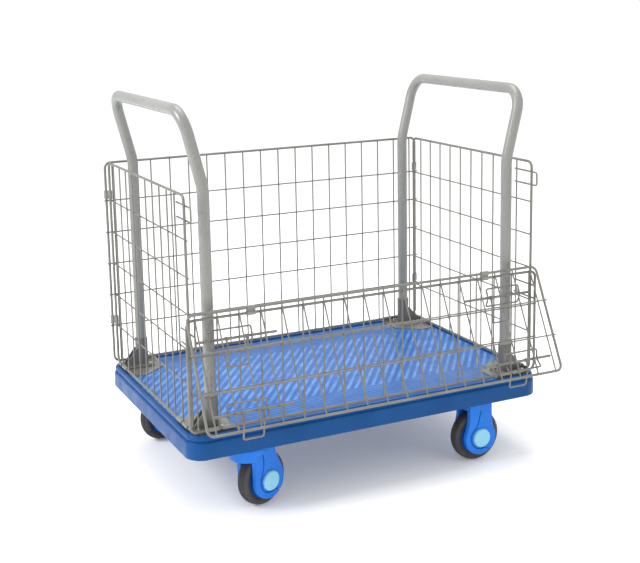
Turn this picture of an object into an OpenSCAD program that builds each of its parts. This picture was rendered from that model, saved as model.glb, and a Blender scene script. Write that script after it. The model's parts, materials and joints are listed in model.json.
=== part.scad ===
// Platform cart with two end handles, a wire mesh cage and a two-part drop front.
// X runs along the deck with the swivel casters at -X, -Y is the drop front, Z is up.
// The origin is on the floor below the middle of the deck. Millimetres.

/* [Deck] */
// Length of the deck, along X
deck_l = 900; // [860:5:960]
// Width of the deck, along Y
deck_w = 600; // [570:5:640]
// Height of the load surface above the floor
deck_top = 200; // [196:1:215]
// Height of the skirt's lower edge above the floor
skirt_z = 150; // [149.5:0.5:155]
// Radius of the deck's corners
deck_corner = 40; // [25:1:60]

/* [Cage] */
// Height of the mesh, from the middle of the bottom wire to the middle of the top wire
mesh_h = 510; // [480:5:560]
// Diameter of the wire round each panel
frame_d = 6; // [5.6:0.1:6]
// Diameter of the mesh wires
mesh_d = 3.5; // [3:0.1:3.6]
// Spacing of the upright mesh wires
mesh_pitch = 50; // [48:1:50]
// How far the folded front flap leans out from hanging straight down, in degrees
flap_lean = 26; // [26:1:32]

/* [Handles] */
// Diameter of the handle tube
tube_d = 26; // [24:0.5:26]
// Wall of the handle tube
tube_wall = 1.8; // [1.2:0.1:2.5]
// Height of the middle of the grip above the floor
grip_z = 890; // [860:5:960]
// Outward lean of the handle above its bend, in degrees
handle_lean = 14; // [5:1:18]

/* [Casters] */
// Diameter of the wheels
wheel_d = 125; // [118:1:125]
// Offset of a swivel caster's axle from its kingpin
trail = 38; // [34:1:40]
// Direction of the front swivel caster's axle from its kingpin, in degrees
swivel_front_turn = 20; // [0:1:359]
// Direction of the back swivel caster's axle from its kingpin, in degrees
swivel_back_turn = 200; // [0:1:359]

/* [Hidden] */
$fn = 64;
eps = 0.01;

// Colours
deck_blue = [0.10, 0.36, 0.66];
fork_blue = [0.22, 0.50, 0.88];
cap_blue = [0.60, 0.86, 0.95];
tyre_grey = [0.23, 0.22, 0.23];
wire_grey = [0.74, 0.73, 0.69];
paint_grey = [0.68, 0.69, 0.67];
steel_grey = [0.60, 0.60, 0.59];
dark_steel = [0.42, 0.42, 0.41];

// Deck: a top plate with a raised tread, a skirt with a step below the rim, ribs and caster pads
plate_t = 5;
skirt_t = 5;
rim_h = 4;
rim_w = 14;
step_z = deck_top - 12;
step_in = 2.5;
rib_t = 4;
rib_z = 187;
pad_z = 165;
pad_l = 104;
pad_w = 80;
tread_l = 656;
tread_w = 544;
tread_h = 1;

// Cage planes: the front and back panels stand just outside the end panels
frame_r = frame_d / 2;
mesh_r = mesh_d / 2;
cage_z = deck_top + 10;
cage_top = cage_z + mesh_h;
long_half = deck_l / 2 - 7;
long_y = deck_w / 2 - 17;
end_x = deck_l / 2 - 15;
end_half = deck_w / 2 - 25;
frame_bend = 15;
cross_offset = frame_r + mesh_r - 2;
wire_overhang = 3;
end_overhang = 0;
row_pitch = 80;
row_first = (mesh_h - 4 * row_pitch) / 2;
long_wires = 18;
end_wires = 10;
end_first = 40;

// Drop front: a lower panel in the deck knuckles and a flap in the hinge clips
hinge_gap = 11.5;
lower_h = 245.5;
flap_z = cage_z + lower_h + hinge_gap;
flap_h = cage_top - flap_z;
clip_len = 20;
clip_r = 5.2;
clip_x = 297;
bore_gap = 0.06;
lap = 0.3;
thin = 0.04;

// Corner clips, at two heights on each back corner
corner_clip_z = [cage_z + 110, cage_z + 430];

// Latches: a bolt in a bent wire guide, with a bail to pull it by
bolt_r = 3;
bolt_len = 183;
bolt_tip = 19;
bolt_out = frame_r + bolt_r + 0.4;
guide_r = 2;
guide_l = 90;
guide_end = 53;
guide_half = 21;
guide_bend = 4;
guide_out = mesh_r + guide_r - 0.3;
guide_peak = bolt_out + bolt_r + guide_r + 0.9;
bail_r = 2;
bail_w = 46;
bail_x = 86;
bail_drop = 60;
bail_knee = 20;
bail_kink = 9;
bail_bend = 5;
eye_r = 4.3;
eye_len = 6;
collar_r = 3.9;
collar_len = 2.5;
lower_bolt_up = lower_h - 47.5;
upper_bolt_up = flap_h - 38;
upper_bail_turn = 143;
catch_r = 2;
catch_half = 15.5;
catch_reach = 27;
catch_bend = 6;
catch_in = frame_r + catch_r - 0.3;

// Deck knuckles: short sleeves on the corner plates, one on each side of a mesh wire
knuckle_r = 5;
knuckle_gap = 4;
plate_sheet = 2.5;
long_knuckle_x = 375;
long_knuckle_ends = [340, 408];
back_knuckle_y = end_half - end_first;
front_knuckle_y = back_knuckle_y - (end_wires - 1) * mesh_pitch;

// Handles
tube_r = tube_d / 2;
leg_x = 382;
leg_y = 247;
leg_bend_z = 727;
leg_bend_r = 120;
grip_bend_r = 52;
lean_len = (grip_z - leg_bend_z) / cos(handle_lean);
bend_len = leg_bend_r * tan(handle_lean / 2);

// Leg sockets
flange_z = deck_top + plate_sheet;
flange_t = 4;
flange_x = [leg_x - 24, leg_x + 45];
flange_y = [leg_y - 28, leg_y + 28];
sleeve_r = tube_r + 2.6;
sleeve_h = 66;
gusset_h = 40;
gusset_t = 4;
gusset_y = 9;
screw_inset = 8;
screw_r = 3;

// Casters
wheel_r = wheel_d / 2;
swivel_x = -303;
fixed_x = 290;
caster_y = 254;
mount_z = pad_z;
mount_t = 5;
bolt_grid = [40, 30];
race_z = 152.4;
head_z = 152;
yoke_z = 148.5;
yoke_low = 118;
yoke_r = 42;
arm_in = 18.5;
arm_out = 31;
arm_r = 43;
wheel_room = wheel_r + 3.5;
axle_r = 5;
axle_head_r = 9;
axle_head = 4.5;
kingpin_r = 6;
kingpin_head_r = 9.5;
kingpin_low = 128;
kingpin_seat = 136;
cap_r = 23;
cap_h = 7;
cap_wall = 2;
tyre_half = 16;
core_r = 45;
hub_half = 17.5;
bush_r = 9;
bolt_shank_r = 4;
bolt_head_r = 6.5;

// An upright prism with rounded corners, its arcs drawn as twelve straight steps
function corner_arc(cx, cy, r, from) = [for (i = [0:12]) [cx + r * cos(from + i * 7.5), cy + r * sin(from + i * 7.5)]];
function round_outline(l, w, r) = concat(
    corner_arc(l / 2 - r, w / 2 - r, r, 0), corner_arc(r - l / 2, w / 2 - r, r, 90),
    corner_arc(r - l / 2, r - w / 2, r, 180), corner_arc(l / 2 - r, r - w / 2, r, 270));
module slab(l, w, r, z0, z1) {
    translate([0, 0, z0]) linear_extrude(height = z1 - z0) polygon(round_outline(l, w, r));
}

module rod_x(x0, x1, y, z, r) {
    translate([x0, y, z]) rotate([0, 90, 0]) cylinder(h = x1 - x0, r = r);
}
module rod_y(x, y0, y1, z, r) {
    translate([x, y0, z]) rotate([-90, 0, 0]) cylinder(h = y1 - y0, r = r);
}
module rod_z(x, y, z0, z1, r) {
    translate([x, y, z0]) cylinder(h = z1 - z0, r = r);
}
// A round wire through the points, bent at each inner point round a radius b
function unit(v) = v / norm(v);
function turn_at(p, q, s) = acos(unit(q - p) * unit(s - q));
function cut_at(p, q, s, b) = b * tan(turn_at(p, q, s) / 2);
module straight_wire(p, q, r) {
    d = q - p;
    translate(p) rotate([0, acos(d[2] / norm(d)), atan2(d[1], d[0])]) cylinder(h = norm(d), r = r);
}
module bend_wire(p, q, s, b, r) {
    go = unit(q - p);
    side = unit(unit(s - q) - (unit(s - q) * go) * go);
    up = cross(-side, go);
    c = q - cut_at(p, q, s, b) * go + b * side;
    // a bend is drawn a hair thinner than the straights, which lap over its ends
    multmatrix([
        [-side[0], go[0], up[0], c[0]],
        [-side[1], go[1], up[1], c[1]],
        [-side[2], go[2], up[2], c[2]],
        [0, 0, 0, 1]]) rotate_extrude(angle = turn_at(p, q, s)) translate([b, 0]) circle(r = r - thin);
}
module bent_wire(points, b, r, closed = false) {
    n = len(points);
    for (i = [0:closed ? n - 1 : n - 2]) {
        p = points[i];
        q = points[(i + 1) % n];
        go = unit(q - p);
        near = closed || i > 0 ? cut_at(points[(i + n - 1) % n], p, q, b) - lap : 0;
        far = closed || i < n - 2 ? cut_at(p, q, points[(i + 2) % n], b) - lap : 0;
        straight_wire(p + near * go, q - far * go, r);
        if (closed || i < n - 2) bend_wire(p, q, points[(i + 2) % n], b, r);
    }
}

// Placement of the parts that come in pairs: sx is -1 on the left, sy is -1 at the front
module on_side(sx) {
    if (sx < 0) mirror([1, 0, 0]) children();
    else children();
}
module on_end(sy) {
    if (sy < 0) mirror([0, 1, 0]) children();
    else children();
}

// ---- deck ----
module caster_grid() {
    for (x = [swivel_x, fixed_x], y = [-caster_y, caster_y])
        for (dx = [-bolt_grid[0], bolt_grid[0]], dy = [-bolt_grid[1], bolt_grid[1]])
            translate([x + dx, y + dy, 0]) children();
}
module screw_grid() {
    for (sx = [-1, 1], sy = [-1, 1])
        for (x = [flange_x[0] + screw_inset, flange_x[1] - screw_inset], y = [flange_y[0] + screw_inset, flange_y[1] - screw_inset])
            translate([sx * x, sy * y, 0]) children();
}
module deck() color(deck_blue) difference() {
    union() {
        difference() {
            union() {
                slab(deck_l, deck_w, deck_corner, skirt_z, step_z);
                slab(deck_l - 2 * step_in, deck_w - 2 * step_in, deck_corner - step_in, step_z - eps, deck_top + rim_h);
            }
            slab(deck_l - 2 * rim_w, deck_w - 2 * rim_w, deck_corner - rim_w, deck_top, deck_top + rim_h + 1);
            slab(deck_l - 4 * skirt_t, deck_w - 4 * skirt_t, deck_corner - 2 * skirt_t, step_z - 8, deck_top - plate_t);
            slab(deck_l - 2 * skirt_t, deck_w - 2 * skirt_t, deck_corner - skirt_t, skirt_z - 1, step_z - 8 + eps);
        }
        slab(tread_l, tread_w, 8, deck_top - eps, deck_top + tread_h);
        for (x = [swivel_x, fixed_x], y = [-caster_y, caster_y])
            translate([x - pad_l / 2, y - pad_w / 2, pad_z]) cube([pad_l, pad_w, deck_top - plate_t - pad_z + eps]);
        for (x = [-200, -60, 60, 200])
            translate([x - rib_t / 2, 2 * skirt_t - deck_w / 2 - eps, rib_z]) cube([rib_t, deck_w - 4 * skirt_t + 2 * eps, deck_top - plate_t - rib_z + eps]);
        for (y = [-150, 0, 150])
            translate([2 * skirt_t - deck_l / 2 - eps, y - rib_t / 2, rib_z]) cube([deck_l - 4 * skirt_t + 2 * eps, rib_t, deck_top - plate_t - rib_z + eps]);
    }
    caster_grid() translate([0, 0, pad_z - 1]) cylinder(h = deck_top - plate_t - pad_z, r = bolt_shank_r + 0.05);
    screw_grid() translate([0, 0, deck_top - 12]) cylinder(h = 14, r = screw_r + 0.1);
}

// ---- corner plates, drawn for the +X +Y corner ----
module knuckle_pair_y(y) {
    for (span = [[y - 36, y - knuckle_gap], [y + knuckle_gap, min(y + 34, end_half - frame_bend - 1)]]) {
        rod_y(end_x, span[0], span[1], cage_z, knuckle_r);
        translate([end_x - 7, span[0], deck_top]) cube([7.5, span[1] - span[0], 6.5]);
    }
}
module knuckle_pair_x() {
    for (span = [[long_knuckle_ends[0], long_knuckle_x - knuckle_gap], [long_knuckle_x + knuckle_gap, long_knuckle_ends[1]]]) {
        rod_x(span[0], span[1], long_y, cage_z, knuckle_r);
        translate([span[0], long_y - 7, deck_top]) cube([span[1] - span[0], 7.5, 6.5]);
    }
}
// end_wire is the Y of the end panel's mesh wire that the pair of sleeves leaves free
module corner_plate(sx, sy, end_wire) color(steel_grey) on_side(sx) on_end(sy) difference() {
    union() {
        translate([0, 0, deck_top]) linear_extrude(height = plate_sheet)
            polygon([[end_x - 4, long_y - 12], [end_x - 12, long_y - 4], [335, long_y - 4], [335, 215],
                [392, 165], [end_x - 4, 165]]);
        knuckle_pair_x();
        knuckle_pair_y(end_wire);
    }
    rod_x(long_knuckle_ends[0] - 1, long_knuckle_ends[1] + 1, long_y, cage_z, frame_r + bore_gap);
    rod_y(end_x, end_wire - 40, end_wire + 40, cage_z, frame_r + bore_gap);
    for (x = [flange_x[0] + screw_inset, flange_x[1] - screw_inset], y = [flange_y[0] + screw_inset, flange_y[1] - screw_inset])
        translate([x, y, deck_top - 1]) cylinder(h = plate_sheet + 2, r = screw_r + 0.2);
}

// ---- handles, drawn for the +X end ----
// The outside of the tube, or with less = tube_wall its bore
module handle_path(less, below) {
    foot = flange_z + flange_t - below;
    r = tube_r - less;
    for (sy = [-1, 1]) {
        rod_z(leg_x, sy * leg_y, foot, leg_bend_z - bend_len + lap, r);
        translate([leg_x + leg_bend_r, sy * leg_y, leg_bend_z - bend_len])
            rotate([90, 0, 0]) rotate([0, 0, 180 - handle_lean])
                rotate_extrude(angle = handle_lean) translate([leg_bend_r, 0]) circle(r = r - thin);
    }
    translate([leg_x, 0, leg_bend_z]) rotate([0, handle_lean, 0]) {
        for (sy = [-1, 1]) {
            rod_z(0, sy * leg_y, bend_len - lap, lean_len - grip_bend_r + lap, r);
            translate([0, sy * (leg_y - grip_bend_r), lean_len - grip_bend_r])
                rotate([90, 0, 90]) rotate([0, 0, sy > 0 ? 0 : 90])
                    rotate_extrude(angle = 90) translate([grip_bend_r, 0]) circle(r = r - thin);
        }
        rod_y(0, grip_bend_r - leg_y - lap, leg_y - grip_bend_r + lap, lean_len, r);
    }
}
module handle(sx) color(paint_grey) on_side(sx) difference() {
    handle_path(0, 0);
    handle_path(tube_wall, 1);
}

// ---- leg sockets, drawn for the +X +Y leg ----
module leg_socket(sx, sy) color(dark_steel) on_side(sx) on_end(sy) difference() {
    union() {
        translate([flange_x[0], flange_y[0], flange_z]) cube([flange_x[1] - flange_x[0], flange_y[1] - flange_y[0], flange_t]);
        rod_z(leg_x, leg_y, flange_z + 1, flange_z + flange_t + sleeve_h, sleeve_r);
        for (dy = [-gusset_y, gusset_y])
            translate([leg_x, leg_y + dy + gusset_t / 2, flange_z + flange_t - eps]) rotate([90, 0, 0]) linear_extrude(height = gusset_t)
                polygon([[0, 0], [flange_x[1] - leg_x - 3, 0], [flange_x[1] - leg_x - 3, 8], [16, gusset_h], [0, gusset_h]]);
    }
    rod_z(leg_x, leg_y, flange_z + flange_t, flange_z + flange_t + sleeve_h + 1, tube_r + 0.05);
    for (x = [flange_x[0] + screw_inset, flange_x[1] - screw_inset], y = [flange_y[0] + screw_inset, flange_y[1] - screw_inset])
        translate([x, y, flange_z - 1]) cylinder(h = flange_t + 2, r = screw_r + 0.2);
}
module socket_screws() color(steel_grey) screw_grid() {
    translate([0, 0, deck_top - 10]) cylinder(h = flange_z + flange_t - deck_top + 10, r = screw_r);
    translate([0, 0, flange_z + flange_t]) cylinder(h = 4, r = 5.5, $fn = 6);
}

// ---- mesh panels ----
// A closed wire round a rectangle of the XZ plane, from the origin to (w, h)
module frame_wire(w, h) {
    b = frame_bend;
    rod_x(b, w - b, 0, 0, frame_r);
    rod_x(b, w - b, 0, h, frame_r);
    rod_z(0, 0, b, h - b, frame_r);
    rod_z(w, 0, b, h - b, frame_r);
    for (c = [[w - b, h - b, 0], [b, h - b, 90], [b, b, 180], [w - b, b, 270]])
        translate([c[0], 0, c[1]]) rotate([90, 0, 0]) rotate([0, 0, c[2]])
            rotate_extrude(angle = 90) translate([b, 0]) circle(r = frame_r);
}
// Frame, uprights at each of xs, and rows at each of zs on the +Y face
module mesh_panel(w, h, xs, zs, over = wire_overhang) {
    frame_wire(w, h);
    for (x = xs) rod_z(x, 0, 0, h, mesh_r);
    for (z = zs) rod_x(-frame_r - over, w + frame_r + over, cross_offset, z, mesh_r);
}
long_xs = [for (i = [0:long_wires - 1]) long_half + (i - (long_wires - 1) / 2) * mesh_pitch];
end_xs = [for (i = [0:end_wires - 1]) 2 * end_half - end_first - i * mesh_pitch];
full_rows = [for (i = [0:4]) row_first + i * row_pitch];
function thirds(h) = [h / 3, 2 * h / 3];

module back_panel() color(wire_grey)
    translate([long_half, long_y, cage_z]) rotate([0, 0, 180]) mesh_panel(2 * long_half, mesh_h, long_xs, full_rows);
module end_panel(sx) color(wire_grey) on_side(sx)
    translate([end_x, -end_half, cage_z]) rotate([0, 0, 90]) mesh_panel(2 * end_half, mesh_h, end_xs, full_rows, end_overhang);
module front_lower_panel() color(wire_grey)
    translate([-long_half, -long_y, cage_z]) mesh_panel(2 * long_half, lower_h, long_xs, thirds(lower_h));
// Places what is drawn on the closed flap, with its hinge wire on the X axis, in the folded position
module on_flap() {
    translate([0, -long_y, flap_z]) rotate([180 - flap_lean, 0, 0]) children();
}
module front_upper_panel() color(wire_grey)
    on_flap() translate([-long_half, 0, 0]) mesh_panel(2 * long_half, flap_h, long_xs, thirds(flap_h));

// ---- clips ----
// A strap round two wires, the first on the Z axis and the second at distance d along X
module wire_clip(d) {
    difference() {
        union() {
            cylinder(h = clip_len, r = clip_r);
            translate([d, 0, 0]) cylinder(h = clip_len, r = clip_r);
            translate([0, -2.4, 0]) cube([d, 4.8, clip_len]);
        }
        translate([0, 0, -1]) cylinder(h = clip_len + 2, r = frame_r + bore_gap);
        translate([d, 0, -1]) cylinder(h = clip_len + 2, r = frame_r + bore_gap);
    }
}
module corner_clips() color(steel_grey)
    for (sx = [-1, 1], z = corner_clip_z)
        on_side(sx) translate([end_x, end_half, z - clip_len / 2])
            rotate([0, 0, atan2(long_y - end_half, long_half - end_x)])
                wire_clip(norm([long_y - end_half, long_half - end_x]));
module hinge_clips() color(steel_grey)
    for (sx = [-1, 1])
        translate([sx * clip_x - clip_len / 2, -long_y, flap_z - hinge_gap]) rotate([0, 90, 0]) mirror([1, 0, 0])
            wire_clip(hinge_gap);

// ---- latches, drawn on the left half of a panel whose outer face looks along -Y ----
// The bolt's middle line is the X axis moved out by bolt_out
module bolt_shape() {
    x0 = bolt_tip - long_half;
    rod_x(x0, x0 + bolt_len, -bolt_out, 0, bolt_r);
    for (e = [1, -1]) {
        c = bail_centre() - e * (bail_w / 2 - eye_len / 2 - 0.3 - collar_len / 2);
        rod_x(c - collar_len / 2, c + collar_len / 2, -bolt_out, 0, collar_r);
    }
}
function bail_centre() = bail_x + bail_w / 2 - long_half;
// A wire loop with its long sides on the mesh and its short sides bent out over the bolt
module guide_shape() {
    x0 = guide_end - long_half;
    x1 = x0 + guide_l;
    bent_wire([
        [x0, -guide_out, guide_half], [x0, -guide_peak, 0], [x0, -guide_out, -guide_half],
        [x1, -guide_out, -guide_half], [x1, -guide_peak, 0], [x1, -guide_out, guide_half]],
        guide_bend, guide_r, true);
}
// A bail hanging down from the bolt: an eye on each leg, a kink outward and a cross bar
module bail_shape() {
    difference() {
        union() {
            for (e = [-1, 1])
                rod_x(bail_centre() + e * bail_w / 2 - eye_len / 2, bail_centre() + e * bail_w / 2 + eye_len / 2,
                    -bolt_out, 0, eye_r);
            bent_wire([
                [bail_centre() - bail_w / 2, -bolt_out - 0.1 * bail_kink, -3],
                [bail_centre() - bail_w / 2, -bolt_out - bail_kink, -bail_knee],
                [bail_centre() - bail_w / 2, -bolt_out - bail_kink, -bail_drop],
                [bail_centre() + bail_w / 2, -bolt_out - bail_kink, -bail_drop],
                [bail_centre() + bail_w / 2, -bolt_out - bail_kink, -bail_knee],
                [bail_centre() + bail_w / 2, -bolt_out - 0.1 * bail_kink, -3]],
                bail_bend, bail_r);
        }
        rod_x(-long_half, 0, -bolt_out, 0, bolt_r + bore_gap);
    }
}
module on_lower(sx) {
    on_side(-sx) translate([0, -long_y, cage_z + lower_bolt_up]) children();
}
module on_upper(sx) {
    on_side(-sx) on_flap() translate([0, 0, upper_bolt_up]) children();
}
module guides_lower() color(wire_grey) for (sx = [-1, 1]) on_lower(sx) guide_shape();
module guides_upper() color(wire_grey) for (sx = [-1, 1]) on_upper(sx) guide_shape();
module lower_bolt(sx) color(wire_grey) on_lower(sx) bolt_shape();
module upper_bolt(sx) color(wire_grey) on_upper(sx) bolt_shape();
module lower_bail(sx) color(wire_grey) on_lower(sx) bail_shape();
module upper_bail(sx) color(wire_grey) on_upper(sx)
    translate([0, -bolt_out, 0]) rotate([-upper_bail_turn, 0, 0]) translate([0, bolt_out, 0]) bail_shape();

// Loops on the end panels that the bolts shoot through
module catch_loops(sx) color(wire_grey) on_side(sx) {
    x = end_x - catch_in;
    y = -end_half - catch_reach;
    for (z = [cage_z + lower_bolt_up, flap_z + upper_bolt_up])
        bent_wire([
            [x, front_knuckle_y, z - catch_half], [x, y, z - catch_half],
            [x, y, z + catch_half], [x, front_knuckle_y, z + catch_half]], catch_bend, catch_r);
}

// ---- casters, drawn with the mounting centre on the Z axis ----
module at_swivel(sy, turn) {
    translate([swivel_x, sy * caster_y, 0]) rotate([0, 0, turn]) children();
}
module at_fixed(sy) {
    translate([fixed_x, sy * caster_y, 0]) children();
}
module mount_plate() {
    difference() {
        translate([-50, -40, mount_z - mount_t]) cube([100, 80, mount_t]);
        for (dx = [-bolt_grid[0], bolt_grid[0]], dy = [-bolt_grid[1], bolt_grid[1]])
            translate([dx, dy, mount_z - mount_t - 1]) cylinder(h = mount_t + 2, r = bolt_shank_r + 0.3);
    }
}
// Upper plate with the raised seat of the ball race and a hole for the kingpin
module swivel_plate(sy) color(steel_grey) at_swivel(sy, 0) difference() {
    union() {
        mount_plate();
        translate([0, 0, race_z]) cylinder(h = mount_z - mount_t - race_z + eps, r = 30);
    }
    translate([0, 0, race_z - 1]) cylinder(h = mount_z - race_z + 2, r = kingpin_r + 0.02);
}
module kingpin(sy, turn) color(steel_grey) at_swivel(sy, turn) {
    translate([0, 0, kingpin_seat - 0.2]) cylinder(h = mount_z - kingpin_seat - 0.3, r = kingpin_r);
    translate([0, 0, kingpin_low]) cylinder(h = kingpin_seat - kingpin_low - 0.2, r = kingpin_head_r);
}
// One arm of a fork: an outline of the XZ plane and a disc round the axle at distance a
module arms(a, outline) {
    for (s = [-1, 1]) {
        translate([0, s > 0 ? arm_out : -arm_in, 0]) rotate([90, 0, 0]) linear_extrude(height = arm_out - arm_in) polygon(outline);
        rod_y(a, s > 0 ? arm_in : -arm_out, s > 0 ? arm_out : -arm_in, wheel_r, arm_r);
    }
}
module swivel_fork(sy, turn) color(fork_blue) at_swivel(sy, turn) difference() {
    union() {
        translate([0, 0, yoke_low]) cylinder(h = yoke_z - yoke_low, r = yoke_r);
        race_seat();
        translate([0, -arm_out, yoke_low]) cube([trail + 19, 2 * arm_out, yoke_z - yoke_low]);
        arms(trail, [[trail - arm_r, wheel_r], [trail + arm_r, wheel_r], [trail + 31, wheel_r + 38],
            [trail + 20, wheel_r + 60], [trail + 19, yoke_z], [trail - arm_r, yoke_z]]);
    }
    rod_y(trail, -arm_in, arm_in, wheel_r, wheel_room);
    rod_y(trail, -arm_out - 1, arm_out + 1, wheel_r, axle_r + 0.02);
    translate([0, 0, kingpin_seat - 1]) cylinder(h = head_z - kingpin_seat + 2, r = kingpin_r + 0.05);
    translate([0, 0, kingpin_low - 30]) cylinder(h = kingpin_seat - kingpin_low + 30, r = kingpin_head_r + 1.5);
}
// The raised seat that turns under the ball race
module race_seat() {
    translate([0, 0, yoke_low]) cylinder(h = head_z - yoke_low, r = 30);
}
module fixed_fork(sy) color(fork_blue) at_fixed(sy) difference() {
    union() {
        mount_plate();
        translate([-31, -arm_out, yoke_low]) cube([62, 2 * arm_out, mount_z - mount_t - yoke_low + eps]);
        arms(0, [[-arm_r, wheel_r], [arm_r, wheel_r], [33, wheel_r + 38], [31, mount_z - mount_t],
            [-31, mount_z - mount_t], [-34, wheel_r + 38]]);
    }
    rod_y(0, -arm_in, arm_in, wheel_r, wheel_room);
    rod_y(0, -arm_out - 1, arm_out + 1, wheel_r, axle_r + 0.02);
}
// Wheel pieces, drawn with the axle along Y through the origin
module axle_shape() {
    rod_y(0, -arm_out, arm_out, 0, axle_r);
    for (s = [-1, 1]) rod_y(0, s > 0 ? arm_out : -arm_out - axle_head, s > 0 ? arm_out + axle_head : -arm_out, 0, axle_head_r);
}
module cap_shape() {
    for (s = [-1, 1]) rotate([s > 0 ? -90 : 90, 0, 0]) translate([0, 0, arm_out]) difference() {
        rotate_extrude() polygon(concat([[0, 0], [cap_r, 0], [cap_r, 2.5]],
            [for (i = [1:6]) [cap_r - 4.5 + 4.5 * cos(i * 15), 2.5 + 4.5 * sin(i * 15)]], [[0, cap_h]]));
        translate([0, 0, -1]) cylinder(h = cap_h - cap_wall + 1, r = cap_r - cap_wall - 1);
    }
}
module core_shape() {
    rotate([90, 0, 0]) rotate_extrude() polygon([
        [bush_r, -hub_half], [16, -hub_half], [18, -7], [36, -6], [38, -14], [core_r, -14],
        [core_r, 14], [38, 14], [36, 6], [18, 7], [16, hub_half], [bush_r, hub_half]]);
}
// Half of the tread, from its middle to the bead: grooves, shoulder and sidewall
function tread() = [[wheel_r, 0], [wheel_r, 1.2], [wheel_r - 1.6, 1.6], [wheel_r - 1.6, 3], [wheel_r - 0.2, 3.4],
    [wheel_r - 0.6, 6.4], [wheel_r - 2.2, 6.8], [wheel_r - 2.2, 8.2], [wheel_r - 1.4, 8.6], [wheel_r - 2.6, 11.4],
    [wheel_r - 5, 13.8], [wheel_r - 9, tyre_half], [core_r + 3, 15], [core_r, 14]];
module tyre_shape() {
    half = tread();
    last = len(half) - 1;
    rotate([90, 0, 0]) rotate_extrude() polygon(concat(half, [for (i = [0:last - 1]) [half[last - i][0], -half[last - i][1]]]));
}
module bush_shape() {
    difference() {
        rod_y(0, -hub_half, hub_half, 0, bush_r);
        rod_y(0, -hub_half - 1, hub_half + 1, 0, axle_r + 0.05);
    }
}
module swivel_axis(sy, turn) {
    at_swivel(sy, turn) translate([trail, 0, wheel_r]) children();
}
module fixed_axis(sy) {
    at_fixed(sy) translate([0, 0, wheel_r]) children();
}
module caster_bolts() color(steel_grey) caster_grid() {
    translate([0, 0, mount_z - mount_t]) cylinder(h = 28, r = bolt_shank_r);
    translate([0, 0, mount_z - mount_t - 6]) cylinder(h = 6, r = bolt_head_r, $fn = 6);
}

deck();
corner_plate(-1, -1, -front_knuckle_y);  // corner_plate_fl
corner_plate(1, -1, -front_knuckle_y);  // corner_plate_fr
corner_plate(-1, 1, back_knuckle_y);  // corner_plate_bl
corner_plate(1, 1, back_knuckle_y);  // corner_plate_br
handle(-1);  // handle_left
handle(1);  // handle_right
leg_socket(-1, -1);  // leg_socket_fl
leg_socket(1, -1);  // leg_socket_fr
leg_socket(-1, 1);  // leg_socket_bl
leg_socket(1, 1);  // leg_socket_br
socket_screws();
back_panel();
end_panel(-1);  // left_panel
end_panel(1);  // right_panel
front_lower_panel();
front_upper_panel();
corner_clips();
hinge_clips();
catch_loops(-1);  // catch_loops_left
catch_loops(1);  // catch_loops_right
guides_lower();
guides_upper();
lower_bolt(-1);  // bolt_lower_left
lower_bolt(1);  // bolt_lower_right
upper_bolt(-1);  // bolt_upper_left
upper_bolt(1);  // bolt_upper_right
lower_bail(-1);  // bail_lower_left
lower_bail(1);  // bail_lower_right
upper_bail(-1);  // bail_upper_left
upper_bail(1);  // bail_upper_right
swivel_plate(-1);  // swivel_front_plate
kingpin(-1, swivel_front_turn);  // swivel_front_kingpin
swivel_fork(-1, swivel_front_turn);  // swivel_front_fork
color(steel_grey) swivel_axis(-1, swivel_front_turn) axle_shape();  // swivel_front_axle
color(cap_blue) swivel_axis(-1, swivel_front_turn) cap_shape();  // swivel_front_caps
color(fork_blue) swivel_axis(-1, swivel_front_turn) core_shape();  // swivel_front_core
color(tyre_grey) swivel_axis(-1, swivel_front_turn) tyre_shape();  // swivel_front_tyre
color(dark_steel) swivel_axis(-1, swivel_front_turn) bush_shape();  // swivel_front_bush
swivel_plate(1);  // swivel_back_plate
kingpin(1, swivel_back_turn);  // swivel_back_kingpin
swivel_fork(1, swivel_back_turn);  // swivel_back_fork
color(steel_grey) swivel_axis(1, swivel_back_turn) axle_shape();  // swivel_back_axle
color(cap_blue) swivel_axis(1, swivel_back_turn) cap_shape();  // swivel_back_caps
color(fork_blue) swivel_axis(1, swivel_back_turn) core_shape();  // swivel_back_core
color(tyre_grey) swivel_axis(1, swivel_back_turn) tyre_shape();  // swivel_back_tyre
color(dark_steel) swivel_axis(1, swivel_back_turn) bush_shape();  // swivel_back_bush
fixed_fork(-1);  // fixed_front_fork
color(steel_grey) fixed_axis(-1) axle_shape();  // fixed_front_axle
color(cap_blue) fixed_axis(-1) cap_shape();  // fixed_front_caps
color(fork_blue) fixed_axis(-1) core_shape();  // fixed_front_core
color(tyre_grey) fixed_axis(-1) tyre_shape();  // fixed_front_tyre
color(dark_steel) fixed_axis(-1) bush_shape();  // fixed_front_bush
fixed_fork(1);  // fixed_back_fork
color(steel_grey) fixed_axis(1) axle_shape();  // fixed_back_axle
color(cap_blue) fixed_axis(1) cap_shape();  // fixed_back_caps
color(fork_blue) fixed_axis(1) core_shape();  // fixed_back_core
color(tyre_grey) fixed_axis(1) tyre_shape();  // fixed_back_tyre
color(dark_steel) fixed_axis(1) bush_shape();  // fixed_back_bush
caster_bolts();
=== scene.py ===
"""Looks for the platform cart with a mesh cage. Metres, in the CAD's frame."""
import json
import math

import bmesh
import bpy
from mathutils import Matrix, Vector


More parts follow.
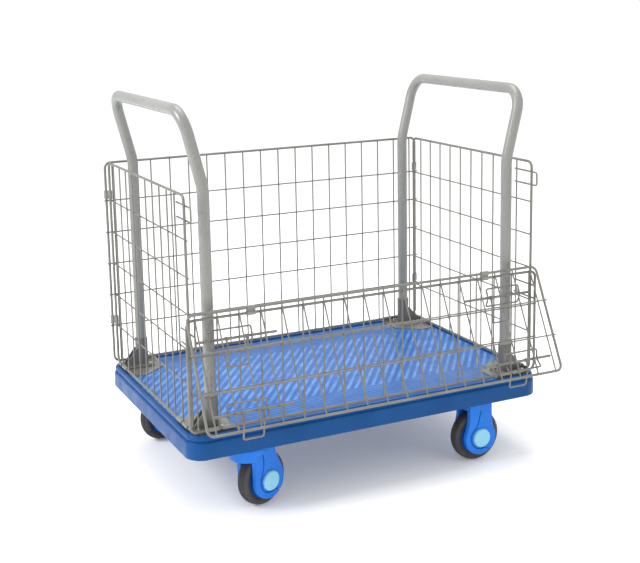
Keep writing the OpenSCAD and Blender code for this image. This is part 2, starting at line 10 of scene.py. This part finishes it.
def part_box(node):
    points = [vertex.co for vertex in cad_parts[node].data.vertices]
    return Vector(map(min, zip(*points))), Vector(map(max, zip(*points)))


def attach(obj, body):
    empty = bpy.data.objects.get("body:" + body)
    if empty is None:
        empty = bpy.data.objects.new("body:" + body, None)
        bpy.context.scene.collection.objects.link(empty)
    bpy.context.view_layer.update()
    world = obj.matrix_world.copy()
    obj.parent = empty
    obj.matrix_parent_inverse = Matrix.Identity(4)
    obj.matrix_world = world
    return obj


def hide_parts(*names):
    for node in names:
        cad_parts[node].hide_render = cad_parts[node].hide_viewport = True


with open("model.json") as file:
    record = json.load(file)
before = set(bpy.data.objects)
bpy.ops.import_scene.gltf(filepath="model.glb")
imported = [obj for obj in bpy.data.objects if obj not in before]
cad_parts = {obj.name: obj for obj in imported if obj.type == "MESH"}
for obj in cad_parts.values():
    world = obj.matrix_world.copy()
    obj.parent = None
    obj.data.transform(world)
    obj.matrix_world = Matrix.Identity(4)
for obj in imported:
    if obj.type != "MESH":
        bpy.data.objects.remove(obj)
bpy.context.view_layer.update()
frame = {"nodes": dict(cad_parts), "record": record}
nodes = frame["nodes"]
scene = bpy.context.scene


# ---- camera ----
CAMERA_PLACE = (-1.2083, -2.5125, 1.1273)
CAMERA_DEGREES = (25.85, 10.24, -1.085)  # turned right from +Y, tipped down, rolled
LENS_MM, SHIFT_Y = 65.536875, -0.125
CLIP_NEAR, CLIP_FAR = 0.05, 150


def make_camera():
    yaw, pitch, roll = (math.radians(a) for a in CAMERA_DEGREES)
    flat = math.cos(pitch)
    forward = Vector((math.sin(yaw) * flat, math.cos(yaw) * flat, -math.sin(pitch)))
    level = Vector((math.cos(yaw), -math.sin(yaw), 0))
    above = level.cross(forward)
    right = math.cos(roll) * level + math.sin(roll) * above
    up = -math.sin(roll) * level + math.cos(roll) * above
    data = bpy.data.cameras.new("camera")
    data.lens, data.shift_y = LENS_MM, SHIFT_Y
    data.clip_start, data.clip_end = CLIP_NEAR, CLIP_FAR
    camera = bpy.data.objects.new("camera", data)
    turn = Matrix((right, up, -forward)).transposed()
    camera.matrix_world = Matrix.Translation(CAMERA_PLACE) @ turn.to_4x4()
    scene.collection.objects.link(camera)
    scene.camera = camera


make_camera()


# ---- materials ----
class Graph:
    """Builds a material's nodes. Patterns are placed in the object's own metres."""

    def __init__(self, name):
        self.mat = bpy.data.materials.new(name)
        self.mat.use_nodes = True
        self.tree = self.mat.node_tree
        self.shader = self.tree.nodes["Principled BSDF"]
        self.place = self.add("ShaderNodeTexCoord").outputs["Object"]

    def add(self, kind, **values):
        node = self.tree.nodes.new(kind)
        for key, value in values.items():
            setattr(node, key, value)
        return node

    def link(self, a, b):
        self.tree.links.new(a, b)

    def noise(self, scale, detail, where=None):
        n = self.add("ShaderNodeTexNoise")
        n.inputs["Scale"].default_value = scale
        n.inputs["Detail"].default_value = detail
        self.link(where or self.place, n.inputs["Vector"])
        return n.outputs["Fac"]

    def span(self, value, low, high, start=0.3, stop=0.7):
        """Stretches start…stop to low…high, and holds the ends."""
        n = self.add("ShaderNodeMapRange")
        ends = {"From Min": start, "From Max": stop, "To Min": low, "To Max": high}
        for key, end in ends.items():
            n.inputs[key].default_value = end
        self.link(value, n.inputs["Value"])
        return n.outputs["Result"]

    def math(self, kind, a, b=None):
        n = self.add("ShaderNodeMath", operation=kind)
        for socket, v in zip(n.inputs, (a, b)):
            if v is None:
                continue
            if isinstance(v, (int, float)):
                socket.default_value = v
            else:
                self.link(v, socket)
        return n.outputs[0]

    def mix(self, factor, a, b):
        n = self.add("ShaderNodeMix", data_type="RGBA")
        for key, v in (("Factor", factor), ("A", a), ("B", b)):
            if isinstance(v, tuple):
                n.inputs[key].default_value = (*v, 1)
            else:
                self.link(v, n.inputs[key])
        return n.outputs["Result"]

    def bump(self, height, distance, strength, before=None):
        n = self.add("ShaderNodeBump")
        n.inputs["Distance"].default_value = distance
        n.inputs["Strength"].default_value = strength
        self.link(height, n.inputs["Height"])
        if before is not None:
            self.link(before, n.inputs["Normal"])
        return n.outputs["Normal"]

    def rounded(self, radius):
        """Shades an edge as if it had this radius."""
        n = self.add("ShaderNodeBevel")
        n.samples = 4
        n.inputs["Radius"].default_value = radius
        return n.outputs["Normal"]

    def finish(self, colour, rough, normal=None, metallic=0.0, coat=0.0, shine=0.5):
        s = self.shader.inputs
        s["Specular IOR Level"].default_value = shine
        self.link(colour, s["Base Color"])
        self.link(rough, s["Roughness"])
        s["Metallic"].default_value = metallic
        s["Coat Weight"].default_value = coat
        s["Coat Roughness"].default_value = 0.12
        if normal is not None:
            self.link(normal, s["Normal"])
        return self.mat


def resin(name, colour, rough, soft, coat=0.0):
    """Moulded resin: slight tone drift, faint scuffs, a fine spark grain and soft edges."""
    g = Graph(name)
    deep = tuple(c * 0.86 for c in colour)
    pale = tuple(min(1, c * 1.08 + 0.004) for c in colour)
    tone = g.mix(g.span(g.noise(9, 4), 0, 1), deep, pale)
    stretched = g.add("ShaderNodeMapping")
    stretched.inputs["Scale"].default_value = (1, 1, 7)
    g.link(g.place, stretched.inputs["Vector"])
    scuff = g.span(g.noise(60, 6, stretched.outputs["Vector"]), 0, 0.18, 0.62, 0.8)
    tone = g.mix(scuff, tone, tuple(min(1, c * 1.25 + 0.03) for c in colour))
    roughness = g.span(g.noise(28, 5), rough - 0.06, rough + 0.1)
    normal = g.bump(g.noise(1600, 2), 0.00012, 0.7, g.rounded(soft))
    return g.finish(tone, roughness, normal, 0, coat, 0.16)


def metal(name, colour, rough, soft, metallic, streak=260):
    """Plated steel: bright and dull patches, fine drawn streaks, dull spots."""
    g = Graph(name)
    dull = tuple(c * 0.74 for c in colour)
    tone = g.mix(g.span(g.noise(14, 5), 0, 1), dull, colour)
    spots = g.span(g.noise(190, 3), 0, 0.5, 0.6, 0.72)
    tone = g.mix(spots, tone, tuple(c * 0.6 for c in colour))
    roughness = g.span(g.noise(40, 4), rough - 0.07, rough + 0.12)
    roughness = g.math("ADD", roughness, g.math("MULTIPLY", spots, 0.2))
    normal = g.bump(g.noise(streak, 4), 0.00006, 0.6, g.rounded(soft))
    return g.finish(tone, roughness, normal, metallic)


def paint(name, colour, rough):
    """Powder coat: orange peel, a little grime, slightly worn sheen."""
    g = Graph(name)
    tone = g.mix(g.span(g.noise(7, 4), 0, 1), tuple(c * 0.88 for c in colour), colour)
    grime = g.span(g.noise(85, 6), 0, 0.3, 0.58, 0.75)
    tone = g.mix(grime, tone, tuple(c * 0.66 for c in colour))
    roughness = g.span(g.noise(33, 4), rough - 0.08, rough + 0.08)
    normal = g.bump(g.noise(700, 2), 0.00012, 0.5, g.rounded(0.0008))
    return g.finish(tone, roughness, normal, 0.12)


def rubber(name, colour):
    """Solid rubber tyre: dusty patches, mould grain and a dull sheen."""
    g = Graph(name)
    dust = g.span(g.noise(30, 6), 0, 0.45, 0.45, 0.75)
    tone = g.mix(dust, colour, tuple(min(1, c * 2.0 + 0.02) for c in colour))
    roughness = g.span(g.noise(55, 4), 0.5, 0.72)
    normal = g.bump(g.noise(900, 3), 0.0002, 0.8, g.rounded(0.0008))
    return g.finish(tone, roughness, normal)


STRIPE_PITCH, RUNG_PITCH, RIB_PITCH = 0.018, 0.0065, 0.0105
STRIPE_X, STRIPE_Y = 0.8, 0.6  # the direction across the slanted stripes
RIB_BAND = 0.175  # the fine ribs lie further than this from the middle


def tread_plate(name, low, high):
    """The load surface: bands of fine ribs along the long edges, slanted stripes between them. The
    raised ridges are painted lighter as a painted highlight, and the grooves darker as painted
    shade.
    """
    g = Graph(name)

    def wave(value, pitch):
        return g.math("SINE", g.math("MULTIPLY", value, 2 * math.pi / pitch))

    axes = g.add("ShaderNodeSeparateXYZ")
    g.link(g.place, axes.inputs[0])
    x, y = axes.outputs[0], axes.outputs[1]
    slant = g.math("SUBTRACT", g.math("MULTIPLY", x, STRIPE_X), g.math("MULTIPLY", y, STRIPE_Y))
    along = g.math("ADD", g.math("MULTIPLY", x, STRIPE_Y), g.math("MULTIPLY", y, STRIPE_X))
    rungs = g.math("MULTIPLY", wave(along, RUNG_PITCH), 0.35)
    stripe = g.math("ADD", wave(slant, STRIPE_PITCH), rungs)
    edge = g.math("GREATER_THAN", g.math("ABSOLUTE", y), RIB_BAND)
    inner = g.math("SUBTRACT", 1.0, edge)
    ribs = g.math("MULTIPLY", wave(y, RIB_PITCH), edge)
    pattern = g.math("ADD", ribs, g.math("MULTIPLY", stripe, inner))
    raised = g.span(pattern, 0, 1, -0.3, 0.6)
    # painted highlight on the raised ridges, weaker on the edge ribs than on the stripes, and
    # painted shade in the grooves; the noise below makes the painted highlight patchy
    tops = tuple(0.45 * a + 0.55 * b for a, b in zip(low, high))
    bright = g.mix(inner, tops, high)
    worn = g.span(g.noise(26, 6), 0.35, 1.0, 0.36, 0.62)
    tone = g.mix(g.math("MULTIPLY", raised, worn), low, bright)
    roughness = g.span(g.noise(30, 4), 0.30, 0.46)
    return g.finish(tone, roughness, g.bump(raised, 0.0012, 0.9), shine=0.4)


DECK = (0.0015, 0.064, 0.225)
# tread colours: darker in the grooves as painted shade, lighter on the ridges as painted highlight
TREAD_GROOVE_SHADE, TREAD_RIDGE_HIGHLIGHT = (0.006, 0.100, 0.360), (0.105, 0.270, 0.640)
FORK = (0.008, 0.172, 0.680)
finishes = {
    "deck_blue": resin("deck_resin", DECK, 0.36, 0.0012),
    "fork_blue": resin("fork_resin", FORK, 0.30, 0.0016, coat=0.15),
    "core_blue": resin("core_resin", (0.006, 0.070, 0.380), 0.32, 0.0012),
    "cap_cyan": resin("cap_resin", (0.260, 0.570, 0.740), 0.28, 0.0014, coat=0.2),
    "tyre_grey": rubber("tyre_rubber", (0.034, 0.031, 0.033)),
    "wire_zinc": metal("zinc_wire", (0.225, 0.218, 0.194), 0.38, 0.0004, 0.40),
    "zinc_steel": metal("zinc_sheet", (0.270, 0.266, 0.245), 0.36, 0.0006, 0.55, 420),
    "grey_tube": paint("tube_paint", (0.262, 0.266, 0.249), 0.32),
    "dark_steel": paint("socket_paint", (0.150, 0.150, 0.140), 0.45),
    "screw_steel": metal("screw_plate", (0.50, 0.50, 0.49), 0.30, 0.0006, 0.9, 500),
}
tread = tread_plate("tread_resin", TREAD_GROOVE_SHADE, TREAD_RIDGE_HIGHLIGHT)
slot_of = {s["node"]: s["material_slot"] for s in frame["record"]["subparts"]}


def dress(obj, mat):
    obj.data.materials.clear()
    obj.data.materials.append(mat)


def shade(mesh, degrees):
    """Smooth faces, with sharp edges where they meet at more than this angle."""
    for face in mesh.polygons:
        face.use_smooth = True
    mesh.set_sharp_from_angle(angle=math.radians(degrees))


for name, obj in nodes.items():
    dress(obj, finishes[slot_of[name]])
    shade(obj.data, 32)


# ---- shapes ----
DECK_LENGTH, DECK_WIDTH, DECK_CORNER = 0.900, 0.600, 0.040


def arc(cx, cy, r, start, stop, steps):
    """Points on a circle between two angles in degrees."""
    turns = (math.radians(start + (stop - start) * k / steps) for k in range(steps + 1))
    return [(cx + r * math.cos(a), cy + r * math.sin(a)) for a in turns]


def outline(inset, length=DECK_LENGTH, width=DECK_WIDTH, corner=DECK_CORNER, steps=14):
    """A rounded rectangle set in from the deck's edge, anticlockwise."""
    hx, hy, r = length / 2 - inset, width / 2 - inset, max(corner - inset, 0.0015)
    corners = (hx - r, hy - r), (r - hx, hy - r), (r - hx, r - hy), (hx - r, r - hy)
    points = []
    for quarter, (cx, cy) in enumerate(corners):
        points += arc(cx, cy, r, 90 * quarter, 90 * quarter + 90, steps)
    return points


def bridge(bm, a, b):
    """Faces between two rings that have as many vertices."""
    for k in range(len(a)):
        m = (k + 1) % len(a)
        bm.faces.new((a[k], a[m], b[m], b[k]))


def sweep(bm, profile, **sizes):
    """Faces through the outline at each (inset, height); returns the rings of vertices."""
    rings = []
    for inset, z in profile:
        rings.append([bm.verts.new((x, y, z)) for x, y in outline(inset, **sizes)])
    for a, b in zip(rings, rings[1:]):
        bridge(bm, a, b)
    return rings


def block(bm, lo, hi):
    """A box between two corners."""
    x, y, z = zip(lo, hi)
    v = [bm.verts.new((x[i & 1], y[i >> 1 & 1], z[i >> 2 & 1])) for i in range(8)]
    for f in ((0, 2, 3, 1), (4, 5, 7, 6), (0, 1, 5, 4), (1, 3, 7, 5), (3, 2, 6, 7), (2, 0, 4, 6)):
        bm.faces.new([v[k] for k in f])


def plate(bm, points, y0, y1):
    """An upright plate: the outline of (x, z) points between two places along Y."""
    a = [bm.verts.new((x, y0, z)) for x, z in points]
    b = [bm.verts.new((x, y1, z)) for x, z in points]
    n = len(points)
    bm.faces.new(a)
    bm.faces.new(b[::-1])
    for k in range(n):
        bm.faces.new((a[k], b[k], b[(k + 1) % n], a[(k + 1) % n]))


def lathe(bm, profile, steps=72):
    """A turned shape from (radius, height) points about the Z axis."""
    turns = [2 * math.pi * k / steps for k in range(steps)]
    rings = []
    for r, h in profile:
        rings.append([bm.verts.new((r * math.cos(a), r * math.sin(a), h)) for a in turns])
    for a, b in zip(rings, rings[1:]):
        bridge(bm, a, b)
    bm.faces.new(rings[0])
    bm.faces.new(rings[-1][::-1])


def middle(node):
    """The middle of a CAD node's box, seen from above."""
    lo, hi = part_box(node)
    return (lo.x + hi.x) / 2, (lo.y + hi.y) / 2


def make(name, bm, mat, soften=0.0, place=None, angle=35):
    """Turns the mesh into a finished piece, with softened edges where asked."""
    bmesh.ops.recalc_face_normals(bm, faces=bm.faces)
    mesh = bpy.data.meshes.new(name)
    bm.to_mesh(mesh)
    bm.free()
    piece = bpy.data.objects.new(name, mesh)
    scene.collection.objects.link(piece)
    if soften:
        mod = piece.modifiers.new("edges", "BEVEL")
        mod.width, mod.segments, mod.limit_method = soften, 3, "ANGLE"
        mod.angle_limit = math.radians(28)
        bpy.context.view_layer.update()
        deps = bpy.context.evaluated_depsgraph_get()
        done = bpy.data.meshes.new_from_object(piece.evaluated_get(deps))
        piece.modifiers.clear()
        piece.data = done
    if place is not None:
        piece.data.transform(place)
    shade(piece.data, angle)
    dress(piece, mat)
    return piece


# ---- deck ----
DECK_TOP, TREAD_TOP = 0.2000, 0.2010
TOP_FACE_AREA = 0.3  # only the deck's flat top is a larger face than this
TREAD_LENGTH, TREAD_WIDTH, TREAD_CORNER = 0.656, 0.544, 0.008
SKIRT_LOW = 0.1500
INTO_DECK = 0.1951  # ribs and pads run this high, just past the deck's underside
RIB_LOW, RIB_HALF = 0.187, 0.002
RIB_X, RIB_Y = (-0.200, -0.060, 0.060, 0.200), (-0.150, 0.0, 0.150)
RIB_REACH_X, RIB_REACH_Y = 0.4402, 0.2902
PAD_LOW, PAD_HALF_X, PAD_HALF_Y = 0.1652, 0.052, 0.040
PADS = ("swivel_front_plate", "swivel_back_plate", "fixed_front_fork", "fixed_back_fork")
# (inset, height) from the skirt's foot over the step, the groove and the rolled rim to the top
RIM = [
    (0.0050, SKIRT_LOW), (0.0016, SKIRT_LOW), (0.0004, 0.1508), (0.0000, 0.1530),
    (0.0002, 0.1700), (0.0005, 0.1830), (0.0009, 0.1858), (0.0020, 0.1876),
    (0.0036, 0.1884), (0.0050, 0.1887), (0.0055, 0.1894), (0.0050, 0.1905),
    (0.0038, 0.1925), (0.0031, 0.1955), (0.0033, 0.1985), (0.0044, 0.2014),
    (0.0064, 0.2033), (0.0088, 0.2040), (0.0112, 0.2038), (0.0130, 0.2026),
    (0.0139, 0.2010), (0.0144, 0.2002), (0.0160, DECK_TOP)]
# (inset, height) up the inside of the skirt to the deck's underside
UNDERSIDE = [(0.0050, SKIRT_LOW), (0.0050, 0.1795), (0.0100, 0.1805), (0.0100, 0.1950)]


def make_deck():
    """Rim, groove and skirt swept round the outline, ribs and pads below, raised tread on top."""
    bm = bmesh.new()
    top = sweep(bm, RIM)
    bm.faces.new(top[-1])
    under = sweep(bm, UNDERSIDE)
    bm.faces.new(under[-1])
    bmesh.ops.remove_doubles(bm, verts=top[0] + under[0], dist=1e-5)
    for x in RIB_X:
        block(bm, (x - RIB_HALF, -RIB_REACH_Y, RIB_LOW), (x + RIB_HALF, RIB_REACH_Y, INTO_DECK))
    for y in RIB_Y:
        block(bm, (-RIB_REACH_X, y - RIB_HALF, RIB_LOW), (RIB_REACH_X, y + RIB_HALF, INTO_DECK))
    for pad in PADS:
        cx, cy = middle(pad)
        block(bm, (cx - PAD_HALF_X, cy - PAD_HALF_Y, PAD_LOW),
              (cx + PAD_HALF_X, cy + PAD_HALF_Y, INTO_DECK))
    piece = make("deck_body", bm, finishes["deck_blue"], angle=50)
    piece.data.materials.append(tread)
    for face in piece.data.polygons:
        if face.area > TOP_FACE_AREA and face.center.z > DECK_TOP - 0.0005:
            face.material_index = 1
    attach(piece, "cart")
    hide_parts("deck")
    bm = bmesh.new()
    edge = [(0, DECK_TOP), (0.0002, 0.2007), (0.0009, TREAD_TOP)]
    rings = sweep(bm, edge, length=TREAD_LENGTH, width=TREAD_WIDTH, corner=TREAD_CORNER, steps=5)
    bm.faces.new(rings[-1])
    field = make("deck_tread", bm, tread, angle=60)
    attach(field, "cart")


# ---- forks: (x, z) lines about the kingpin or the axle, and degrees about the axle ----
AXLE_Z = 0.0625
TRAIL = 0.038  # from the kingpin back to a swivel caster's axle
DISC = 0.043  # radius of an arm's round end
EDGE = 0.0008  # the raised fields stay this far inside the arm's edge
GROOVE = 0.0028
BAND_RING, FIELD_RING = 0.0292, 0.0264  # the groove's two sides round the hub cap
ARM_Y, BAND_Y, FIELD_Y = (0.0185, 0.0268), (0.0255, 0.0310), (0.0255, 0.0304)
BRIDGE_LOW, BRIDGE_HALF_Y = 0.1290, 0.0300
FORK_SOFT, EDGE_SOFT = 0.0009, 0.0006
SWIVEL_TOP, FIXED_TOP, PLATE_TOP = 0.1480, 0.1600, 0.1650
SWIVEL_TAIL_X, FIXED_HALF_X = 0.0570, 0.0310
PLATE_LENGTH, PLATE_WIDTH, PLATE_CORNER = 0.100, 0.080, 0.006
NOSE_R, NOSE_LOW, NOSE_HIGH = 0.0419, 0.1215, 0.1420
# (radius, height) of the race housing and the seat on top of it
HEAD = [
    (0.0062, 0.1290), (0.0320, 0.1288), (0.0370, 0.1300), (0.0402, 0.1325),
    (0.0418, 0.1365), (0.0420, 0.1430), (0.0416, 0.1470), (0.0405, 0.1484),
    (0.0310, 0.1485), (0.0300, 0.1490), (0.0300, 0.1518), (0.0062, 0.1520)]


def smooth(points, steps=5):
    """A rounded line through the points."""
    out = []
    ends = [points[0]] + list(points) + [points[-1]]
    for near in zip(ends, ends[1:], ends[2:], ends[3:]):
        for k in range(steps):
            t = k / steps
            out.append(tuple(
                0.5 * (2 * q + (r - p) * t + (2 * p - 5 * q + 4 * r - v) * t ** 2
                       + (3 * q - p - 3 * r + v) * t ** 3)
                for p, q, r, v in zip(*near)))
    return out + [tuple(points[-1])]


def arms(bm, cx, lead, tail, groove, disc, ring, gap, steps, tops, lift=0.0, corner=()):
    """Both arms of a fork: a full plate, and two raised fields with a deep groove between them.

    lead and tail are the arm's two edges and disc the angles where its round end starts and stops.
    The groove comes down inside the lead edge, goes round the hub cap between the angles of ring,
    and leaves through the rim at gap. steps are those of the disc, the ring and the field's rim.
    """
    rim = DISC - EDGE
    shape = lead + arc(cx, AXLE_Z, DISC, *disc, steps[0]) + tail
    band = [(x + EDGE, z) for x, z in lead if z < tops[0]]
    band += arc(cx, AXLE_Z, rim, disc[0], gap[0], 34)
    band += (groove + arc(cx, AXLE_Z, BAND_RING, *ring, steps[1]))[::-1]
    field = [(x + GROOVE, z + lift) for x, z in groove]
    field += arc(cx, AXLE_Z, FIELD_RING, *ring, steps[1])
    field += arc(cx, AXLE_Z, rim, gap[1], disc[1], steps[2])
    field += [(x - EDGE, z) for x, z in tail if z < tops[1]] + list(corner)
    for side in (-1, 1):
        for points, (near, far) in ((shape, ARM_Y), (band, BAND_Y), (field, FIELD_Y)):
            plate(bm, points, side * near, side * far)


def settle(parts, body, node):
    """Each part rides the body in the fork's slot, and the first replaces the CAD's fork."""
    for part in parts:
        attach(part, body)
    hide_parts(node)


def make_swivel_fork(node, body, turn):
    lead = smooth([(-0.028, SWIVEL_TOP), (-0.0285, 0.1370), (-0.0245, 0.1300), (-0.0150, 0.1262),
                   (-0.0085, 0.1185), (-0.0056, 0.1060), (-0.0050, 0.0880), (-0.0050, 0.0640)])
    tail = smooth([(0.0806, 0.0680), (0.0755, 0.0860), (0.0668, 0.1050), (0.0590, 0.1215),
                   (SWIVEL_TAIL_X, 0.1330), (SWIVEL_TAIL_X, SWIVEL_TOP)])
    groove = smooth([(-0.002, 0.1385), (0.0085, 0.1350), (0.0160, 0.1260), (0.0185, 0.1130),
                     (0.0180, 0.0980), (0.0150, 0.0830)])
    bm = bmesh.new()
    arms(bm, TRAIL, lead, tail, groove, disc=(181, 360), ring=(155, 300), gap=(312, 316),
         steps=(40, 26, 14), tops=(0.1385, 0.1500), lift=EDGE, corner=[(0.0040, SWIVEL_TOP)])
    nose = [(NOSE_R * math.cos(math.radians(a)), NOSE_R * math.sin(math.radians(a)))
            for a in range(97, 264, 4)]
    low, high = ([bm.verts.new((x, y, z)) for x, y in nose] for z in (NOSE_LOW, NOSE_HIGH))
    bm.faces.new(low)
    bm.faces.new(high[::-1])
    for k in range(len(nose)):
        m = (k + 1) % len(nose)
        bm.faces.new((low[k], high[k], high[m], low[m]))
    block(bm, (0.0, -BRIDGE_HALF_Y, BRIDGE_LOW), (SWIVEL_TAIL_X, BRIDGE_HALF_Y, SWIVEL_TOP))
    piece = make(node + "_body", bm, finishes["fork_blue"], FORK_SOFT, turn)
    bm = bmesh.new()
    lathe(bm, HEAD)
    head = make(node + "_head", bm, finishes["fork_blue"], 0, turn, 50)
    settle((piece, head), body, node)


def make_fixed_fork(node):
    place = Matrix.Translation((*middle(node), 0))
    lead = smooth([(-FIXED_HALF_X, FIXED_TOP), (-0.0312, 0.1350), (-0.0325, 0.1100),
                   (-0.0365, 0.0890), (-0.0415, 0.0740)])
    tail = smooth([(0.0415, 0.0740), (0.0352, 0.0900), (0.0325, 0.1080), (0.0312, 0.1350),
                   (FIXED_HALF_X, FIXED_TOP)])
    groove = smooth([(-0.0010, 0.1560), (-0.0020, 0.1350), (-0.0060, 0.1120), (-0.0130, 0.0900)])
    bm = bmesh.new()
    arms(bm, 0, lead, tail, groove, disc=(176, 364), ring=(128, 292), gap=(304, 308),
         steps=(42, 28, 18), tops=(0.1565, 0.1565))
    block(bm, (-FIXED_HALF_X, -BRIDGE_HALF_Y, BRIDGE_LOW),
          (FIXED_HALF_X, BRIDGE_HALF_Y, FIXED_TOP))
    piece = make(node + "_body", bm, finishes["fork_blue"], FORK_SOFT, place)
    bm = bmesh.new()
    edge = [(EDGE_SOFT, FIXED_TOP), (0, 0.1606), (0, 0.1644), (EDGE_SOFT, PLATE_TOP)]
    rings = sweep(bm, edge, length=PLATE_LENGTH, width=PLATE_WIDTH, corner=PLATE_CORNER, steps=5)
    bm.faces.new(rings[-1])
    bm.faces.new(rings[0][::-1])
    top = make(node + "_top", bm, finishes["fork_blue"], 0, place, 50)
    settle((piece, top), "cart", node)


def swivel_place(node):
    """The fork's turn and place, from its kingpin and its tyre."""
    pin_lo, pin_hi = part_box(node.replace("fork", "kingpin"))
    tyre_lo, tyre_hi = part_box(node.replace("fork", "tyre"))
    pin, tyre = (pin_lo + pin_hi) / 2, (tyre_lo + tyre_hi) / 2
    heading = math.atan2(tyre.y - pin.y, tyre.x - pin.x)
    return Matrix.Translation((pin.x, pin.y, 0)) @ Matrix.Rotation(heading, 4, "Z")


make_deck()
for body in ("swivel_front", "swivel_back"):
    make_swivel_fork(body + "_fork", body, swivel_place(body + "_fork"))
for node in ("fixed_front_fork", "fixed_back_fork"):
    make_fixed_fork(node)


# ---- floor and light ----
FLOOR_HALF = 50
FLOOR_GLOW, WORLD_GLOW = 0.12, 1.0
AIM = (0, 0, 0.35)
LAMPS = (  # name, place, size in metres, watts
    ("key", (-3.2, 0.2, 2.6), 1.5, 85),
    ("top", (0.2, 0.5, 3.4), 2.2, 50),
    ("fill", (2.4, -3.2, 1.8), 2.2, 10),
)


def stage():
    """A white floor and sky, three round lamps, and colours shown as they are."""
    h = FLOOR_HALF
    mesh = bpy.data.meshes.new("floor")
    mesh.from_pydata([(-h, -h, 0), (h, -h, 0), (h, h, 0), (-h, h, 0)], [], [(0, 1, 2, 3)])
    floor = bpy.data.objects.new("floor", mesh)
    scene.collection.objects.link(floor)
    g = Graph("floor_paper")
    tone = g.mix(g.span(g.noise(1.5, 2), 0, 1), (0.955,) * 3, (0.965,) * 3)
    g.shader.inputs["Emission Color"].default_value = (1, 1, 1, 1)
    g.shader.inputs["Emission Strength"].default_value = FLOOR_GLOW
    dress(floor, g.finish(tone, g.span(g.noise(4, 2), 0.75, 0.85)))
    world = bpy.data.worlds.new("studio")
    world.use_nodes = True
    sky = world.node_tree.nodes["Background"].inputs
    sky["Color"].default_value, sky["Strength"].default_value = (1, 1, 1, 1), WORLD_GLOW
    scene.world = world
    for name, place, size, power in LAMPS:
        data = bpy.data.lights.new(name, "AREA")
        data.shape, data.size, data.energy = "DISK", size, power
        lamp = bpy.data.objects.new(name, data)
        lamp.location = place
        toward = Vector(AIM) - Vector(place)
        lamp.rotation_euler = toward.to_track_quat("-Z", "Y").to_euler()
        scene.collection.objects.link(lamp)
    scene.view_settings.view_transform = "Standard"


stage()
